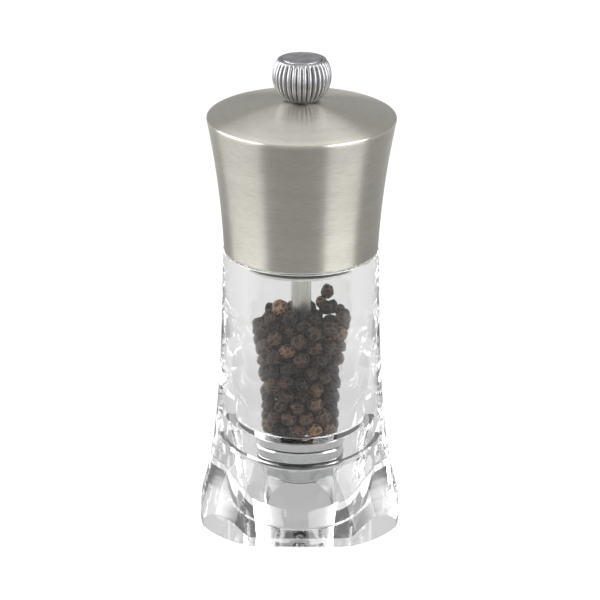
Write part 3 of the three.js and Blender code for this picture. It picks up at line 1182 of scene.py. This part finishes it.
@dataclass
class Spindle:
    """The square shaft with its threaded end, and the grinding cone on its foot."""

    finishes: Finishes
    side: float = 5.5 * MM
    chamfer: float = 0.35 * MM
    square_bottom: float = 15.2 * MM
    square_top: float = 118.0 * MM
    thread_radius: float = 2.45 * MM
    pitch: float = 0.8 * MM
    rivet: float = 2.8 * MM
    rivet_stem: float = 1.9 * MM
    turn_deg: float = 6.0

    def build_bar(self) -> bpy.types.Object:
        """Models the square bar with eased edges.

        Returns:
            The bar.
        """
        start_clean()
        middle = (self.square_bottom + self.square_top) / 2
        bpy.ops.mesh.primitive_cube_add(size=1.0, location=(0.0, 0.0, middle))
        bar = bpy.context.object
        bar.scale = (self.side, self.side, self.square_top - self.square_bottom)
        bar.rotation_euler = (0.0, 0.0, math.radians(self.turn_deg))
        settle(bar, "square_shaft")
        return bevelled(bar, self.chamfer, 3)

    def build_thread(self) -> bpy.types.Object:
        """Models the threaded end: crests and roots up to a chamfered tip.

        Returns:
            The thread.
        """
        tip = levels("drive_shaft")[1]
        root = self.thread_radius - 0.35 * MM
        start = self.square_top - 1.0 * MM
        outline = [(0.0, start), (root, start), (root, self.square_top)]
        height = self.square_top + 0.6 * MM
        while height + self.pitch < tip - 0.8 * MM:
            outline += [
                (root, height),
                (self.thread_radius, height + 0.35 * self.pitch),
                (self.thread_radius, height + 0.5 * self.pitch),
                (root, height + 0.85 * self.pitch),
            ]
            height += self.pitch
        outline += [(root, tip - 0.4 * MM), (root - 0.4 * MM, tip), (0.0, tip)]
        return turned("thread", outline, 48, 40.0)

    def build(self) -> None:
        """Models the shaft as one piece and dresses the rest."""
        low, inside = levels("drive_shaft")[0], self.square_bottom + 0.8 * MM
        shaft = joined(self.build_bar(), self.build_thread())
        outline = [
            (0.0, low),
            (self.rivet - 0.6 * MM, low),
            (self.rivet - 0.1 * MM, low + 0.2 * MM),
            (self.rivet, low + 0.4 * MM),
            (self.rivet - 0.1 * MM, low + 0.6 * MM),
            (self.rivet_stem, low + 0.6 * MM),
            (self.rivet_stem, inside),
            (0.0, inside),
        ]
        shaft = joined(shaft, turned("rivet", outline, 48))
        settle(shaft, "square_shaft", 30.0)
        dress(shaft, self.finishes.shaft, Body.SPINDLE, "drive_shaft")
        dress_nodes(self.finishes.hardened, "rotor", "rotor_washer", "spring_seat")


@dataclass
class Mechanism:
    """The polished rings under the peppercorns: bridge, stator, spring, retaining ring and bottom bridge."""

    finishes: Finishes
    radius: float = 13.8 * MM
    ring_inside: float = 10.6 * MM
    hub: float = 5.8 * MM
    hub_bore: float = 4.9 * MM
    arm: float = 2.6 * MM
    skirt: float = 11.6 * MM
    flange: float = 20.6 * MM
    throat: float = 8.5 * MM
    throat_height: float = 17.5 * MM
    teeth: int = 24
    tooth: float = 0.35 * MM
    edge: float = 0.35 * MM
    coil: float = 5.2 * MM
    wire: float = 0.4 * MM
    turns: int = 3
    squeezed: float = 0.86

    def build_bridge(self) -> None:
        """Models the upper ring with three arms to the hub."""
        low, high = levels("bearing_bridge")
        inside, outside, edge = self.ring_inside, self.radius, self.edge
        section = [
            (inside, low + edge),
            (inside + edge, low),
            (outside - edge, low),
            (outside, low + edge),
            (outside, high - edge),
            (outside - edge, high),
            (inside + edge, high),
            (inside, high - edge),
        ]
        ring = turned("bearing_bridge_ring", section, 160)
        section = [
            (self.hub_bore, low),
            (self.hub - edge, low),
            (self.hub, low + edge),
            (self.hub, high - edge),
            (self.hub - edge, high),
            (self.hub_bore, high),
        ]
        hub = turned("hub", section, 96)
        reach = (self.ring_inside + self.radius) / 2 - self.hub + 0.4 * MM
        for number in range(3):
            angle = 2.0 * math.pi * number / 3
            centre = self.hub - 0.4 * MM + reach / 2
            start_clean()
            bpy.ops.mesh.primitive_cube_add(size=1.0, location=(0.0, 0.0, 0.0))
            arm = bpy.context.object
            arm.scale = (reach, self.arm, high - low - 0.6 * MM)
            arm.location = (centre * math.cos(angle), centre * math.sin(angle), (low + high) / 2)
            arm.rotation_euler = (0.0, 0.0, angle)
            settle(arm, "arm")
            bevelled(arm, 0.3 * MM)
            ring = joined(ring, arm)
        ring = joined(ring, hub)
        settle(ring, "guide_bridge", 30.0)
        dress(ring, self.finishes.polished, Body.MILL, "bearing_bridge")

    def build_stator(self) -> None:
        """Models the toothed ring with its flange and rounded skirt."""
        low, high = levels("stator")
        flange, edge, corner = self.flange, self.edge, 1.6 * MM
        bore = []
        for z in np.linspace(flange - 1.2 * MM, low + 0.4 * MM, 14):
            bore.append((self.throat + ((z - self.throat_height) / MM) ** 2 * 0.01 * MM, z))
        outline = [
            (8.9 * MM, low),
            *arc((self.skirt - corner, low + corner), (corner, corner), (-90.0, 0.0), 8),
            (self.skirt, flange),
            (self.radius - edge, flange),
            (self.radius, flange + edge),
            (self.radius, high - edge),
            (self.radius - edge, high),
            (10.9 * MM, high),
            (9.2 * MM, flange),
            *bore,
        ]

        def toothed(places: np.ndarray) -> np.ndarray:
            """Cuts saw teeth, slightly slanted, in the bore.

            Args:
                places: the vertices' places.

            Returns:
                The new places.
            """
            x, y, z = places.T
            radius = np.hypot(x, y)
            turn = self.teeth * (np.arctan2(y, x) + z / MM * 0.02) / (2.0 * math.pi)
            grinds = (radius < 9.1 * MM) & (z < flange - 1.0 * MM) & (z > low + 0.1 * MM)
            depth = grinds * self.tooth * (turn % 1.0)
            places[:, :2] *= (1.0 + depth / np.maximum(radius, 1e-6))[:, None]
            return places

        stator = reshaped(turned("grinding_ring", outline, self.teeth * 8, 40.0), toothed)
        choose(stator)
        bpy.ops.object.shade_smooth_by_angle(angle=math.radians(30.0))
        dress(stator, self.finishes.polished, Body.MILL, "stator")

    def build_spring(self) -> None:
        """Models the round-wire spring."""
        low, high = levels("spring")
        start_clean()
        place = (self.coil, 0.0, low + self.wire)
        bpy.ops.mesh.primitive_circle_add(
            vertices=12, radius=self.wire, location=place, rotation=(math.pi / 2, 0.0, 0.0)
        )
        spring = bpy.context.object
        bpy.ops.object.transform_apply(location=True, rotation=True, scale=True)
        screw = spring.modifiers.new("coil", "SCREW")
        screw.iterations, screw.steps, screw.render_steps = self.turns, 36, 36
        screw.screw_offset = (high - low - 2.0 * self.wire) / self.turns
        bpy.ops.object.modifier_apply(modifier=screw.name)
        bpy.ops.object.mode_set(mode="EDIT")
        bpy.ops.mesh.select_all(action="SELECT")
        bpy.ops.mesh.fill_holes(sides=0)
        settle(spring, "return_spring")
        dress(spring, self.finishes.hardened, Body.MILL, "spring")
        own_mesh(spring)

    def build(self) -> None:
        """Models the two rings and the spring and dresses the rest."""
        self.build_bridge()
        self.build_stator()
        self.build_spring()
        dress_nodes(self.finishes.nylon, "shaft_bush")
        dress_nodes(self.finishes.polished, "bottom_bridge")
        screws = ("bottom_bridge_screw_1", "bottom_bridge_screw_2")
        dress_nodes(self.finishes.hardened, "retaining_ring", *screws)


@dataclass(frozen=True)
class SoftBox:
    """A soft light: its place, its width and height in metres, and its power in watts."""

    name: str
    place: Triple
    size: Pair
    power: float


@dataclass
class Studio:
    """A pale floor, soft lights and the camera."""

    boxes: tuple[SoftBox, ...] = (
        SoftBox("left_box", (-1.1, -0.12, 0.40), (1.5, 0.9), 18.0),
        SoftBox("right_box", (0.93, -0.59, 0.40), (1.05, 0.9), 13.0),
        SoftBox("top_box", (0.0, 0.4, 1.5), (1.6, 1.2), 4.0),
    )
    aim: Triple = (0.0, 0.0, 0.08)
    camera_back: float = 0.9873
    camera_height: float = 0.445
    pitch_deg: float = 21.0
    roll_deg: float = 0.3
    lens: float = 217.2
    shift: float = -0.0012
    floor_drop: float = 0.1 * MM
    glow_near: float = 0.14
    glow_lit: float = 0.60
    dark_inner: float = 0.20
    dark_outer: float = 0.36
    glow_through: float = 0.74
    # The floor's glow under the mill seen through the body: a painted shadow.
    painted_shadow_glow: float = 0.42
    shade_inner: float = 16.0 * MM
    shade_outer: float = 75.0 * MM
    room_front: float = 0.58
    room_back: float = 0.42
    through_low: float = 0.68
    through_ring: float = 0.16
    through_top: float = 0.85
    ring_foot: Pair = (0.30, 0.37)
    ring_head: Pair = (0.44, 0.52)
    bounces: int = 24

    def floor(self) -> None:
        """A wide glowing floor, white to look at, grey through the body with a painted shadow under the
        mill, and dark to what it lights.
        """
        start_clean()
        bpy.ops.mesh.primitive_plane_add(size=6.0, location=(0.0, 0.0, -self.floor_drop))
        floor = bpy.context.object
        floor.name = "floor"
        graph = MaterialGraph("floor_paper")
        ray = graph.add("ShaderNodeLightPath")
        radius = graph.round_the_axis()[2]
        # Painted shadow: seen through the clear body, the floor glows darker within a few centimetres of the
        # mill's axis.
        out = radius.rise(self.shade_inner, self.shade_outer)
        through = graph.blend(out, grey(self.painted_shadow_glow), grey(self.glow_through))
        away = radius.rise(self.dark_inner, self.dark_outer)
        lit = graph.blend(away, grey(self.glow_near), grey(self.glow_lit))
        glow = graph.blend(graph.wire(ray, "Is Transmission Ray"), lit, through)
        glow = graph.blend(graph.wire(ray, "Is Camera Ray"), glow, grey(1.0))
        paper = graph.finish(
            Base_Color=(0.04, 0.04, 0.04),
            Roughness=0.9,
            Emission_Color=glow,
            Emission_Strength=1.0,
        )
        floor.data.materials.append(paper)

    def soft_light(self, box: SoftBox) -> None:
        """Adds a rectangular light that faces the mill.

        Args:
            box: the light's name, place, size and power.
        """
        data = bpy.data.lights.new(box.name, "AREA")
        data.shape, data.energy = "RECTANGLE", box.power
        data.size, data.size_y = box.size
        light = bpy.data.objects.new(box.name, data)
        light.location = box.place
        direction = Vector(self.aim) - Vector(box.place)
        light.rotation_euler = direction.to_track_quat("-Z", "Y").to_euler()
        bpy.context.scene.collection.objects.link(light)

    def world(self) -> None:
        """A grey room, paler with a dark ring to a ray that leaves the clear body, white to look at."""
        world = bpy.data.worlds.new("room")
        bpy.context.scene.world = world
        world.use_nodes = True
        graph = Graph(world.node_tree)
        direction = graph.wire(graph.add("ShaderNodeTexCoord"), "Generated")
        axes = graph.add("ShaderNodeSeparateXYZ", inputs={0: direction})
        back, up = graph.wire(axes, 1), graph.wire(axes, 2)
        ray = graph.add("ShaderNodeLightPath")
        room = graph.blend(graph.ramp(back, -0.6, 0.9), grey(self.room_front), grey(self.room_back))
        low, ring, top = grey(self.through_low), grey(self.through_ring), grey(self.through_top)
        through = graph.blend(graph.ramp(up, *self.ring_foot), low, ring)
        through = graph.blend(graph.ramp(up, *self.ring_head), through, top)
        room = graph.blend(graph.wire(ray, "Is Transmission Ray"), room, through)
        seen = graph.blend(graph.wire(ray, "Is Camera Ray"), room, grey(1.0))
        graph.feed(graph.tree.nodes["Background"].inputs["Color"], seen)

    def camera(self) -> None:
        """The camera, level with the mill's axis and looking down on it."""
        data = bpy.data.cameras.new("camera")
        data.lens, data.sensor_width = self.lens, 36.0
        data.shift_x = self.shift
        data.clip_start, data.clip_end = 0.05, 60.0
        camera = bpy.data.objects.new("camera", data)
        camera.location = (0.0, -self.camera_back, self.camera_height)
        tilt = Matrix.Rotation(math.radians(90.0 - self.pitch_deg), 3, "X")
        camera.rotation_euler = (tilt @ Matrix.Rotation(math.radians(self.roll_deg), 3, "Z")).to_euler()
        bpy.context.scene.collection.objects.link(camera)
        bpy.context.scene.camera = camera

    def build(self) -> None:
        """Sets up the camera, the room, the floor and the lights."""
        scene = bpy.context.scene
        scene.view_settings.view_transform = "Standard"
        for kind in ("max_bounces", "transmission_bounces", "glossy_bounces"):
            setattr(scene.cycles, kind, self.bounces)
        scene.cycles.transparent_max_bounces = 16
        self.camera()
        self.world()
        self.floor()
        for box in self.boxes:
            self.soft_light(box)
        log.info("studio ready")


def main() -> None:
    """Builds the studio and the mill's sub-assemblies in order."""
    logging.basicConfig(level=logging.INFO, format="%(name)s: %(message)s")
    Studio().build()
    finishes = Finishes()
    body = ClearBody(finishes)
    body.build()
    Mechanism(finishes).build()
    Spindle(finishes).build()
    PepperHeap(finishes, body).build()
    Head(finishes).build()
    Knob(finishes).build()


if __name__ == "__main__":
    main()
